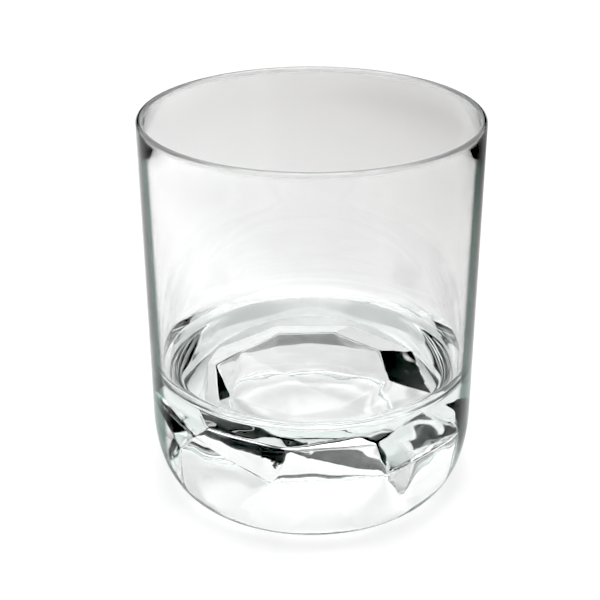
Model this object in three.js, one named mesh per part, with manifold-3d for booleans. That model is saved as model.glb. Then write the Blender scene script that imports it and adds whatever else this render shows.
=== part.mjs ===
// Straight-sided whiskey tumbler, pressed in one piece of clear soda-lime glass.
//
// Frame: millimetres, +Z up along the glass's axis of revolution, origin on that axis at the
// plane the glass stands on. The whole glass is one solid: a thin wall with a round lip, a thick
// base, a shallow bowl of an inner floor and a faceted hollow pressed up into the underside.

import * as THREE from 'three';
import { mergeVertices } from 'three/addons/utils/BufferGeometryUtils.js';
import { ConvexGeometry } from 'three/addons/geometries/ConvexGeometry.js';
import Module from 'manifold-3d';

// ---- driving dimensions, mm ----
const HEIGHT = 97.5;
const LIP_RADIUS = 42; // outside of the wall at the lip
const BASE_RADIUS = 41.5; // outside of the wall where the heel starts
const LIP_THICKNESS = 1.6;
const WALL_THICKNESS = 2.4; // where the wall meets the base

const HEEL_HEIGHT = 19; // the heel is a quarter ellipse
const HEEL_WIDTH = 8;

const FLOOR_HEIGHT = 29; // inner floor, on the axis
const FLOOR_EDGE_HEIGHT = 31.5; // inner floor, where it meets the corner
const FLOOR_EDGE_RADIUS = 34;
const CORNER_TOP_HEIGHT = 37; // top of the rounded corner between floor and wall

// ---- hollow pressed up into the underside ----
const MOUTH_RADIUS = 32;
const SHOULDER_RADIUS = 31.5; // top of the plain round wall above the mouth
const SHOULDER_HEIGHT = 4;
const GEM_SIDES = 8;
const GEM_TURN = 25; // degrees
const TABLE_RADIUS = 19.5; // corners of the top facets
const TABLE_HEIGHT = 25.2;
const MID_RADIUS = 25.5; // corners between the table and the girdle
const MID_HEIGHT = 21.3;
const GIRDLE_RADIUS = 31; // lower points of the facets
const GIRDLE_HEIGHT = 16.5;
const NOTCH_RADIUS = 30; // between two lower points
const NOTCH_HEIGHT = 19;
const UNEVEN_RADIUS = 2.2; // the facets are uneven, like ice
const UNEVEN_HEIGHT = 1.7;
const UNEVEN_TURN = 10; // degrees

// ---- fineness of the round surfaces ----
const TURNS = 96; // steps round the axis
const ARC_STEPS = 6; // steps along a quarter of the heel or corner
const WELD_DISTANCE = 1e-4;

const DEG = Math.PI / 180;

// Points of an elliptical arc in the (radius, height) half-plane.
function arc(centreRadius, centreHeight, width, height, from, to, steps) {
  const points = [];
  for (let i = 0; i <= steps; i++) {
    const angle = (from + ((to - from) * i) / steps) * DEG;
    const r = centreRadius + width * Math.cos(angle);
    const z = centreHeight + height * Math.sin(angle);
    points.push(new THREE.Vector2(r, z));
  }
  return points;
}

// The half section of the glass without its hollow, from the axis at the foot, round the outside
// and the lip, and back to the axis at the inner floor.
function glassSection() {
  const lip = LIP_THICKNESS / 2;
  const footRadius = BASE_RADIUS - HEEL_WIDTH;
  const innerRadius = BASE_RADIUS - WALL_THICKNESS;
  const cornerWidth = innerRadius - FLOOR_EDGE_RADIUS;
  const cornerHeight = CORNER_TOP_HEIGHT - FLOOR_EDGE_HEIGHT;
  return [
    new THREE.Vector2(0, 0),
    ...arc(footRadius, HEEL_HEIGHT, HEEL_WIDTH, HEEL_HEIGHT, -90, 0, ARC_STEPS),
    ...arc(LIP_RADIUS - lip, HEIGHT - lip, lip, lip, 0, 180, ARC_STEPS),
    ...arc(FLOOR_EDGE_RADIUS, CORNER_TOP_HEIGHT, cornerWidth, -cornerHeight, 0, 90, ARC_STEPS),
    new THREE.Vector2(0, FLOOR_HEIGHT),
  ];
}

// A lathed body stood up so that its axis is +Z.
function latheAboutZ(section) {
  const geometry = new THREE.LatheGeometry(section, TURNS);
  geometry.rotateX(90 * DEG);
  return geometry;
}

// A level circle round the axis.
function ring(radius, height) {
  const corners = [];
  for (let i = 0; i < TURNS; i++) {
    const angle = (2 * Math.PI * i) / TURNS;
    corners.push(new THREE.Vector3(radius * Math.cos(angle), radius * Math.sin(angle), height));
  }
  return corners;
}

// A number from -1 to 1 that looks random and is always the same for a corner.
function uneven(set, i) {
  return Math.sin(12.9898 * (i + 1) + 78.233 * set);
}

// One ring of the hollow's corners, each moved a little.
function gemRing(set, radius, height, turn) {
  const corners = [];
  for (let i = 0; i < GEM_SIDES; i++) {
    const angle = Math.PI - (turn + (360 * i) / GEM_SIDES + UNEVEN_TURN * uneven(set, i)) * DEG;
    const r = radius + UNEVEN_RADIUS * uneven(set + 0.37, i);
    const z = height + UNEVEN_HEIGHT * uneven(set + 0.71, i);
    corners.push(new THREE.Vector3(r * Math.cos(angle), r * Math.sin(angle), z));
  }
  return corners;
}

// The hollow in the underside: an uneven cut-gem crown on a plain round wall that runs out below
// the foot.
function hollowGeometry() {
  const halfStep = 180 / GEM_SIDES;
  const below = 2;
  return new ConvexGeometry([
    ...ring(MOUTH_RADIUS, -below),
    ...ring(MOUTH_RADIUS, 0),
    ...ring(SHOULDER_RADIUS, SHOULDER_HEIGHT),
    ...gemRing(1, TABLE_RADIUS, TABLE_HEIGHT, GEM_TURN),
    ...gemRing(2, MID_RADIUS, MID_HEIGHT, GEM_TURN + halfStep),
    ...gemRing(3, GIRDLE_RADIUS, GIRDLE_HEIGHT, GEM_TURN),
    ...gemRing(4, NOTCH_RADIUS, NOTCH_HEIGHT, GEM_TURN + halfStep),
  ]);
}

// Boolean cuts need vertices that are shared, so everything but the position is dropped first.
function toSolid(wasm, geometry) {
  const shell = geometry.clone();
  shell.deleteAttribute('normal');
  shell.deleteAttribute('uv');
  const welded = mergeVertices(shell, WELD_DISTANCE);
  const vertProperties = new Float32Array(welded.attributes.position.array);
  const triVerts = new Uint32Array(welded.index.array);
  return new wasm.Manifold(new wasm.Mesh({ numProp: 3, vertProperties, triVerts }));
}

function toGeometry(solid) {
  const { vertProperties, triVerts } = solid.getMesh();
  const geometry = new THREE.BufferGeometry();
  geometry.setAttribute('position', new THREE.BufferAttribute(vertProperties, 3));
  geometry.setIndex(new THREE.BufferAttribute(triVerts, 1));
  geometry.computeVertexNormals();
  return geometry;
}

function clearGlass() {
  return new THREE.MeshStandardMaterial({
    name: 'clear_glass',
    color: 0xeef4f2,
    roughness: 0.02,
    metalness: 0,
    transparent: true,
    opacity: 0.35,
  });
}

async function tumblerBody() {
  const wasm = await Module();
  wasm.setup();
  const glass = toSolid(wasm, latheAboutZ(glassSection()));
  const hollow = toSolid(wasm, hollowGeometry());
  const body = new THREE.Mesh(toGeometry(glass.subtract(hollow)), clearGlass());
  body.name = 'tumbler_body';
  return body;
}

const tumbler = new THREE.Group();
tumbler.name = 'whiskey_tumbler';
tumbler.add(await tumblerBody());

export default tumbler;
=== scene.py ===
"""Looks of the clear glass whiskey tumbler: the fine glass body, its material, the table and the light.

Blender 4.5, metres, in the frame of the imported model: +Z up along the glass's axis, origin on that
axis at the plane the glass stands on. Angles are degrees in the named values.
"""

import math

import bmesh
import bpy
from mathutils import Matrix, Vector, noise


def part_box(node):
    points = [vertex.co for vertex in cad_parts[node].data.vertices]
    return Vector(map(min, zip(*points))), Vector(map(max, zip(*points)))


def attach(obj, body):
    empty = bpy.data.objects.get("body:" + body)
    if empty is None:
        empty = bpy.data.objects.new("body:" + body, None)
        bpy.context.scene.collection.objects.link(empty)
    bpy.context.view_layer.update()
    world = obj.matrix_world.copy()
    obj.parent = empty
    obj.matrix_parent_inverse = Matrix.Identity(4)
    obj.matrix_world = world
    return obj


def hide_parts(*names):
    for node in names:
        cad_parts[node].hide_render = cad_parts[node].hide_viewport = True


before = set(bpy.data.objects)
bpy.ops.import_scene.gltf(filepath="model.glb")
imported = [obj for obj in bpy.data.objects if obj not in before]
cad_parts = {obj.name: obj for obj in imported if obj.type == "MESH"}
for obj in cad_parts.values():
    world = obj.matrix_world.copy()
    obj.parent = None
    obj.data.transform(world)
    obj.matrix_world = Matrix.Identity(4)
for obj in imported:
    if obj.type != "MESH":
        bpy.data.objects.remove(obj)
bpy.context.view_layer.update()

BODY = "root"
CAD_NODE = "tumbler_body"
MM = 0.001

# ---- the glass, from the frame ----
_, _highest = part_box(CAD_NODE)
HEIGHT = _highest.z
LIP_RADIUS = _highest.x

# ---- the glass, wall and heel ----
BASE_RADIUS = LIP_RADIUS - 0.5 * MM  # outside, where the heel starts
LIP_THICKNESS = 1.6 * MM
WALL_THICKNESS = 2.4 * MM  # where the wall meets the base
HEEL_HEIGHT = 19 * MM  # the heel is a quarter ellipse
HEEL_WIDTH = 8 * MM

# ---- inner floor ----
FLOOR_HEIGHT = 29 * MM  # on the axis
FLOOR_EDGE_HEIGHT = 31.5 * MM  # where it meets the corner
FLOOR_EDGE_RADIUS = 34 * MM
CORNER_TOP_HEIGHT = 37 * MM

# ---- hollow pressed up into the underside ----
MOUTH_RADIUS = 32 * MM
SHOULDER_RADIUS = 31.5 * MM  # top of the plain round wall above the mouth
SHOULDER_HEIGHT = 4 * MM
GEM_SIDES = 8
GEM_TURN = 25
TABLE_RADIUS = 19.5 * MM  # corners of the top facets
TABLE_HEIGHT = 25.2 * MM
MID_RADIUS = 25.5 * MM  # corners between the table and the girdle
MID_HEIGHT = 21.3 * MM
GIRDLE_RADIUS = 31 * MM  # lower points of the facets
GIRDLE_HEIGHT = 16.5 * MM
NOTCH_RADIUS = 30 * MM  # between two lower points
NOTCH_HEIGHT = 19 * MM
UNEVEN_RADIUS = 2.2 * MM  # the facets are uneven, like ice
UNEVEN_HEIGHT = 1.7 * MM
UNEVEN_TURN = 10
UNEVEN_STEPS = (12.9898, 78.233)  # radians from one corner to the next, and from one set to the next
RADIUS_SET = 0.37  # the sets of random numbers for a ring's radii and heights, past its turns
HEIGHT_SET = 0.71
FLAT_ANGLE = 0.3  # faces that turn by less than this are one face
FACET_ANGLE = 7  # faces that turn by more than this meet in a rounded edge
SHARP_ANGLE = 12  # edges that turn by more than this are shaded sharp
FACET_ROUNDING = 0.5 * MM  # fire-polished facet edges
ROUND_PROFILE = 0.5  # the shape of a quarter circle
FACET_MESH = 1.2 * MM  # longest edge inside a facet
FACET_WAVE = 0.15 * MM  # height of the waves in a pressed facet
FACET_WAVE_SIZE = 7 * MM
FACET_WAVE_RISE = 8 * MM  # the waves reach their full height this far above the shoulder
FACET_WAVE_SEED = 1

# ---- fineness ----
TURNS = 192
HEEL_STEPS = 24
WALL_STEPS = 10
LIP_STEPS = 12
CORNER_STEPS = 18
FLOOR_STEPS = 12
ROUNDING_STEPS = 3
REFINE_ROUNDS = 8
WELD = 0.001 * MM

# ---- camera ----
FILM = 36.0  # mm
LENS = 80.4  # mm
CAMERA_DISTANCE = 0.3092
CAMERA_HEIGHT = 0.19517
CAMERA_PITCH = 25.46
CAMERA_SHIFT = -0.0194
NEAREST = 0.01

# ---- picture ----
BLACK_LEVEL = 0.13  # share of the brightness range that is cut to black
GLASS_BOUNCES = 24
GLOSS_BOUNCES = 12
DIFFUSE_BOUNCES = 3

# ---- glass ----
GLASS_IOR = 1.52
# painted shade: dark green where a wall is seen at a grazing angle, standing in for both the depth of
# glass along the wall's edges and the dark room seen through them: (share of a grazing view, colour)
PAINTED_EDGE_SHADE = (
    (0.0, (1.0, 1.0, 1.0)),
    (0.66, (1.0, 1.0, 1.0)),
    (0.71, (0.04, 0.075, 0.065)),
    (0.8, (0.02, 0.05, 0.04)),
)
HEEL_SHADE_HEIGHT = 6 * MM  # the painted edge shade is palest below this, with its full strength at the top of the heel
# share of the painted edge shade kept at the bottom of the heel
HEEL_SHADE_SHARE = 0.78
BODY_TINT = (0.75, 0.92, 0.86)
BODY_TINT_DENSITY = 4.0
LIP_HAZE_DEPTH = 1.8 * MM  # a haze on the lip stands in for the pale room that a lip gathers
LIP_HAZE_FADE = 0.9 * MM
LIP_ROUGHNESS = 0.15
LIP_CLARITY = 0.62

# ---- table ----
TABLE_HALF = 3.0
TABLE_DROP = 0.05 * MM  # keeps the table clear of the foot
TABLE_ROUGHNESS = 0.9
WASH = 0.6  # light of its own that the camera sees, as on an overexposed white table
WASHED_GREY = 0.42
# painted shade on the table as rays through the glass meet it, by how far back and to the right it is:
# (metres, colour)
PAINTED_TABLE_SHADE_LEAN = 1.5  # how much more a step to the right counts than a step back
PAINTED_TABLE_SHADE = (
    (-0.7, (1.0, 1.0, 1.0)),
    (-0.08, (0.80, 0.80, 0.80)),
    (0.05, (0.97, 0.97, 0.97)),
    (0.12, (0.80, 0.80, 0.80)),
    (0.33, (0.655, 0.65, 0.645)),
    (0.45, (0.45, 0.445, 0.44)),
    (0.95, (0.92, 0.92, 0.92)),
)

# ---- room light by direction: (sine of the height, brightness) ----
ROOM_LIGHT = 2.45
ROOM_BANDS = ((0.0, 0.42), (0.17, 0.42), (0.21, 0.0), (0.72, 0.0), (0.78, 1.0), (1.0, 1.0))


def arc(centre_radius, centre_height, width, height, start, end, steps):
    """Points (radius, height) of an elliptical arc."""
    points = []
    for i in range(steps + 1):
        angle = math.radians(start + (end - start) * i / steps)
        r = centre_radius + width * math.cos(angle)
        z = centre_height + height * math.sin(angle)
        points.append((r, z))
    return points


def line(start, end, steps):
    """Points (radius, height) of a straight line, without its first and last point."""
    points = []
    for i in range(1, steps):
        t = i / steps
        points.append((start[0] + (end[0] - start[0]) * t, start[1] + (end[1] - start[1]) * t))
    return points


def glass_section():
    """The half section of the glass from the mouth of the hollow, over the lip, to the axis."""
    lip = LIP_THICKNESS / 2
    foot_radius = BASE_RADIUS - HEEL_WIDTH
    inner_radius = BASE_RADIUS - WALL_THICKNESS
    corner_width = inner_radius - FLOOR_EDGE_RADIUS
    corner_height = CORNER_TOP_HEIGHT - FLOOR_EDGE_HEIGHT
    heel = arc(foot_radius, HEEL_HEIGHT, HEEL_WIDTH, HEEL_HEIGHT, -90, 0, HEEL_STEPS)
    rim = arc(LIP_RADIUS - lip, HEIGHT - lip, lip, lip, 0, 180, LIP_STEPS)
    corner = arc(
        FLOOR_EDGE_RADIUS, CORNER_TOP_HEIGHT, corner_width, -corner_height, 0, 90, CORNER_STEPS
    )
    section = [(MOUTH_RADIUS, 0.0)]
    section += heel
    section += line(heel[-1], rim[0], WALL_STEPS)
    section += rim
    section += line(rim[-1], corner[0], WALL_STEPS)
    section += corner
    for i in range(1, FLOOR_STEPS + 1):
        r = FLOOR_EDGE_RADIUS * (1 - i / FLOOR_STEPS)
        rise = (FLOOR_EDGE_HEIGHT - FLOOR_HEIGHT) * (r / FLOOR_EDGE_RADIUS) ** 2
        section.append((r, FLOOR_HEIGHT + rise))
    return section


def ring(bm, radius, height):
    """Vertices of a level circle round the axis."""
    corners = []
    for i in range(TURNS):
        angle = 2 * math.pi * i / TURNS
        corners.append(bm.verts.new((radius * math.cos(angle), radius * math.sin(angle), height)))
    return corners


def lathe(bm, section):
    """Faces of the section turned round the axis; its last point lies on the axis."""
    rings = [ring(bm, r, z) for r, z in section[:-1]]
    for lower, upper in zip(rings, rings[1:]):
        for i in range(TURNS):
            j = (i + 1) % TURNS
            bm.faces.new((lower[i], lower[j], upper[j], upper[i]))
    centre = bm.verts.new((0, 0, section[-1][1]))
    for i in range(TURNS):
        bm.faces.new((rings[-1][i], rings[-1][(i + 1) % TURNS], centre))


def uneven(number_set, i):
    """A number from -1 to 1 that looks random and is always the same for a corner."""
    per_corner, per_set = UNEVEN_STEPS
    return math.sin(per_corner * (i + 1) + per_set * number_set)


def gem_ring(shell, number_set, radius, height, turn):
    """One ring of the hollow's corners, each moved a little."""
    for i in range(GEM_SIDES):
        turned = turn + 360 * i / GEM_SIDES + UNEVEN_TURN * uneven(number_set, i)
        angle = math.pi - math.radians(turned)
        r = radius + UNEVEN_RADIUS * uneven(number_set + RADIUS_SET, i)
        z = height + UNEVEN_HEIGHT * uneven(number_set + HEIGHT_SET, i)
        shell.verts.new((r * math.cos(angle), r * math.sin(angle), z))


def refine(shell, longest):
    """Splits edges until none is longer than this, or the rounds run out."""
    for _ in range(REFINE_ROUNDS):
        long_edges = [e for e in shell.edges if e.calc_length() > longest]
        if not long_edges:
            break
        bmesh.ops.subdivide_edges(shell, edges=long_edges, cuts=1)
        bmesh.ops.triangulate(shell, faces=[f for f in shell.faces if len(f.verts) > 3])


def wave(shell):
    """Slow waves over the facets, none in the plain wall below them."""
    noise.seed_set(FACET_WAVE_SEED)
    for vertex in shell.verts:
        share = min(max((vertex.co.z - SHOULDER_HEIGHT) / FACET_WAVE_RISE, 0.0), 1.0)
        vertex.co += noise.noise_vector(vertex.co / FACET_WAVE_SIZE) * FACET_WAVE * share


def corners_of(part):
    """The numbers of a part's vertices, from low to high."""
    return sorted(vertex.index for vertex in part.verts)


def put_in_order(parts, key):
    """Sorts vertices, edges or faces, which bmesh leaves in another order in each run."""
    rank = {part: i for i, part in enumerate(sorted(parts, key=key))}
    parts.sort(key=rank.get)
    parts.index_update()


def hollow(bm):
    """The faceted hollow: the convex skin over its rings, open at the mouth."""
    shell = bmesh.new()
    half_step = 180 / GEM_SIDES
    ring(shell, MOUTH_RADIUS, 0)
    ring(shell, SHOULDER_RADIUS, SHOULDER_HEIGHT)
    gem_ring(shell, 1, TABLE_RADIUS, TABLE_HEIGHT, GEM_TURN)
    gem_ring(shell, 2, MID_RADIUS, MID_HEIGHT, GEM_TURN + half_step)
    gem_ring(shell, 3, GIRDLE_RADIUS, GIRDLE_HEIGHT, GEM_TURN)
    gem_ring(shell, 4, NOTCH_RADIUS, NOTCH_HEIGHT, GEM_TURN + half_step)
    hull = bmesh.ops.convex_hull(shell, input=shell.verts[:])
    inside = [v for v in hull["geom_interior"] if isinstance(v, bmesh.types.BMVert)]
    bmesh.ops.delete(shell, geom=inside, context="VERTS")
    cap = [f for f in shell.faces if all(abs(v.co.z) < WELD for v in f.verts)]
    bmesh.ops.delete(shell, geom=cap, context="FACES")
    bmesh.ops.dissolve_limit(
        shell, angle_limit=math.radians(FLAT_ANGLE), verts=shell.verts[:], edges=shell.edges[:]
    )
    creases = [
        e
        for e in shell.edges
        if len(e.link_faces) == 2 and e.calc_face_angle(0) > math.radians(FACET_ANGLE)
    ]
    bmesh.ops.bevel(
        shell,
        geom=creases,
        offset=FACET_ROUNDING,
        offset_type="OFFSET",
        segments=ROUNDING_STEPS,
        profile=ROUND_PROFILE,
        affect="EDGES",
        clamp_overlap=True,
    )
    bmesh.ops.triangulate(shell, faces=shell.faces[:])
    refine(shell, FACET_MESH)
    wave(shell)
    put_in_order(shell.verts, lambda vertex: tuple(vertex.co))
    put_in_order(shell.edges, corners_of)
    put_in_order(shell.faces, corners_of)
    bmesh.ops.reverse_faces(shell, faces=shell.faces[:])
    mesh = bpy.data.meshes.new("hollow")
    shell.to_mesh(mesh)
    shell.free()
    bm.from_mesh(mesh)
    bpy.data.meshes.remove(mesh)


def glass_body():
    """The whole glass as one closed mesh."""
    bm = bmesh.new()
    lathe(bm, glass_section())
    hollow(bm)
    bmesh.ops.remove_doubles(bm, verts=bm.verts[:], dist=WELD)
    bmesh.ops.recalc_face_normals(bm, faces=bm.faces[:])
    for face in bm.faces:
        face.smooth = True
    for edge in bm.edges:
        edge.smooth = edge.calc_face_angle(0) < math.radians(SHARP_ANGLE)
    mesh = bpy.data.meshes.new("glass_body")
    bm.to_mesh(mesh)
    bm.free()
    body = bpy.data.objects.new("glass_body", mesh)
    bpy.context.scene.collection.objects.link(body)
    return body


def outward(tree):
    """One where the surface faces away from the glass's axis, none where it faces the axis."""
    place = tree.nodes.new("ShaderNodeTexCoord")
    level = tree.nodes.new("ShaderNodeVectorMath")
    level.operation = "MULTIPLY"
    level.inputs[1].default_value = (1, 1, 0)
    tree.links.new(place.outputs["Object"], level.inputs[0])
    away = tree.nodes.new("ShaderNodeVectorMath")
    away.operation = "DOT_PRODUCT"
    tree.links.new(level.outputs["Vector"], away.inputs[0])
    tree.links.new(place.outputs["Normal"], away.inputs[1])
    side = tree.nodes.new("ShaderNodeMath")
    side.operation = "GREATER_THAN"
    side.inputs[1].default_value = 0.0
    tree.links.new(away.outputs["Value"], side.inputs[0])
    return side.outputs["Value"]


def product(tree, first, second):
    """The product of two values."""
    node = tree.nodes.new("ShaderNodeMath")
    node.operation = "MULTIPLY"
    tree.links.new(first, node.inputs[0])
    tree.links.new(second, node.inputs[1])
    return node.outputs["Value"]


def by_height(tree, low, high, below, above):
    """A value that changes from one number to another between two heights."""
    place = tree.nodes.new("ShaderNodeTexCoord")
    split = tree.nodes.new("ShaderNodeSeparateXYZ")
    tree.links.new(place.outputs["Object"], split.inputs["Vector"])
    change = tree.nodes.new("ShaderNodeMapRange")
    change.inputs["From Min"].default_value = low
    change.inputs["From Max"].default_value = high
    change.inputs["To Min"].default_value = below
    change.inputs["To Max"].default_value = above
    tree.links.new(split.outputs["Z"], change.inputs["Value"])
    return change.outputs["Result"]


def clear_glass():
    """Clear soda-lime glass: a faint green body colour, painted dark green shade on the edges where
    they are seen at a grazing angle, and a slightly hazy lip.
    """
    material = bpy.data.materials.new("clear_glass")
    material.use_nodes = True
    tree = material.node_tree
    shader = tree.nodes["Principled BSDF"]
    shader.inputs["IOR"].default_value = GLASS_IOR
    haze_start = HEIGHT - LIP_HAZE_DEPTH
    haze_full = haze_start + LIP_HAZE_FADE
    haze = by_height(tree, haze_start, haze_full, 0.0, LIP_ROUGHNESS)
    clarity = by_height(tree, haze_start, haze_full, 1.0, LIP_CLARITY)
    tree.links.new(haze, shader.inputs["Roughness"])
    tree.links.new(clarity, shader.inputs["Transmission Weight"])
    # painted shade: the base colour turns dark green where the outer surface is seen at a grazing
    # angle, paler low on the heel
    grazing = tree.nodes.new("ShaderNodeLayerWeight")
    heel = by_height(tree, HEEL_SHADE_HEIGHT, HEEL_HEIGHT, HEEL_SHADE_SHARE, 1.0)
    share = product(tree, grazing.outputs["Facing"], product(tree, outward(tree), heel))
    edge_shade = ramp(tree, share, PAINTED_EDGE_SHADE)
    tree.links.new(edge_shade, shader.inputs["Base Color"])
    depth = tree.nodes.new("ShaderNodeVolumeAbsorption")
    depth.inputs["Color"].default_value = BODY_TINT + (1,)
    depth.inputs["Density"].default_value = BODY_TINT_DENSITY
    tree.links.new(depth.outputs["Volume"], tree.nodes["Material Output"].inputs["Volume"])
    return material


def pale_table():
    """White in a direct view, partly by light of its own that only camera rays meet; through the glass,
    painted shade: soft greys that are darkest back and to the right.
    """
    material = bpy.data.materials.new("table")
    material.use_nodes = True
    tree = material.node_tree
    shader = tree.nodes["Principled BSDF"]
    shader.inputs["Roughness"].default_value = TABLE_ROUGHNESS
    shader.inputs["Specular IOR Level"].default_value = 0.0
    shader.inputs["Emission Color"].default_value = (1, 1, 1, 1)
    point = tree.nodes.new("ShaderNodeNewGeometry")
    back = tree.nodes.new("ShaderNodeVectorMath")
    back.operation = "DOT_PRODUCT"
    back.inputs[1].default_value = (PAINTED_TABLE_SHADE_LEAN, 1, 0)
    tree.links.new(point.outputs["Position"], back.inputs[0])
    start = PAINTED_TABLE_SHADE[0][0]
    end = PAINTED_TABLE_SHADE[-1][0]
    share = tree.nodes.new("ShaderNodeMapRange")
    share.inputs["From Min"].default_value = start
    share.inputs["From Max"].default_value = end
    tree.links.new(back.outputs["Value"], share.inputs["Value"])
    stops = [((place - start) / (end - start), colour) for place, colour in PAINTED_TABLE_SHADE]
    # painted shade: the table's greys for rays that reach it through the glass, darkest back and to the
    # right
    grey = ramp(tree, share.outputs["Result"], stops)
    ray = tree.nodes.new("ShaderNodeLightPath")
    base = tree.nodes.new("ShaderNodeMix")
    base.data_type = "RGBA"
    tree.links.new(ray.outputs["Is Camera Ray"], base.inputs["Factor"])
    tree.links.new(grey, base.inputs["A"])
    base.inputs["B"].default_value = (WASHED_GREY,) * 3 + (1,)
    tree.links.new(base.outputs["Result"], shader.inputs["Base Color"])
    wash = tree.nodes.new("ShaderNodeMath")
    wash.operation = "MULTIPLY"
    wash.inputs[1].default_value = WASH
    tree.links.new(ray.outputs["Is Camera Ray"], wash.inputs[0])
    tree.links.new(wash.outputs["Value"], shader.inputs["Emission Strength"])
    return material


def table():
    """The pale surface that the glass stands on."""
    mesh = bpy.data.meshes.new("table")
    sides = ((-1, -1), (1, -1), (1, 1), (-1, 1))
    corners = [(TABLE_HALF * x, TABLE_HALF * y, 0) for x, y in sides]
    mesh.from_pydata(corners, [], [(0, 1, 2, 3)])
    mesh.materials.append(pale_table())
    top = bpy.data.objects.new("table", mesh)
    top.location.z = -TABLE_DROP
    bpy.context.scene.collection.objects.link(top)


def room():
    """Room light: a pale horizon, dark walls above it and a bright ceiling."""
    world = bpy.data.worlds.new("room")
    bpy.context.scene.world = world
    world.use_nodes = True
    tree = world.node_tree
    tree.nodes.clear()
    direction = tree.nodes.new("ShaderNodeTexCoord")
    split = tree.nodes.new("ShaderNodeSeparateXYZ")
    tree.links.new(direction.outputs["Generated"], split.inputs["Vector"])
    light = tree.nodes.new("ShaderNodeBackground")
    light.inputs["Strength"].default_value = ROOM_LIGHT
    tree.links.new(ramp(tree, split.outputs["Z"], ROOM_BANDS), light.inputs["Color"])
    output = tree.nodes.new("ShaderNodeOutputWorld")
    tree.links.new(light.outputs["Background"], output.inputs["Surface"])


def ramp(tree, source, stops):
    """The colour output of a ramp through these stops; a plain number is a grey."""
    node = tree.nodes.new("ShaderNodeValToRGB")
    tree.links.new(source, node.inputs["Fac"])
    band = node.color_ramp
    band.elements.remove(band.elements[-1])
    for i, (place, value) in enumerate(stops):
        stop = band.elements[0] if i == 0 else band.elements.new(place)
        stop.position = place
        stop.color = (value if isinstance(value, tuple) else (value,) * 3) + (1,)
    return node.outputs["Color"]


def camera():
    """The viewpoint: in front of the glass and above it, looking down."""
    data = bpy.data.cameras.new("camera")
    data.sensor_width = FILM
    data.lens = LENS
    data.shift_x = CAMERA_SHIFT
    data.clip_start = NEAREST
    eye = bpy.data.objects.new("camera", data)
    eye.location = (0, -CAMERA_DISTANCE, CAMERA_HEIGHT)
    eye.rotation_euler = (math.radians(90 - CAMERA_PITCH), 0, 0)
    bpy.context.scene.collection.objects.link(eye)
    bpy.context.scene.camera = eye


def render_look():
    """Plain colour with the darkest tones cut to black, and enough bounces for thick glass."""
    scene = bpy.context.scene
    scene.view_settings.view_transform = "Standard"
    scene.view_settings.use_curve_mapping = True
    scene.view_settings.curve_mapping.black_level = (BLACK_LEVEL,) * 3
    scene.view_settings.curve_mapping.update()
    scene.cycles.max_bounces = GLASS_BOUNCES
    scene.cycles.transmission_bounces = GLASS_BOUNCES
    scene.cycles.glossy_bounces = GLOSS_BOUNCES
    scene.cycles.diffuse_bounces = DIFFUSE_BOUNCES
    scene.cycles.blur_glossy = 0


camera()
glass = glass_body()
glass.data.materials.append(clear_glass())
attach(glass, BODY)
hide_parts(CAD_NODE)
table()
room()
render_look()
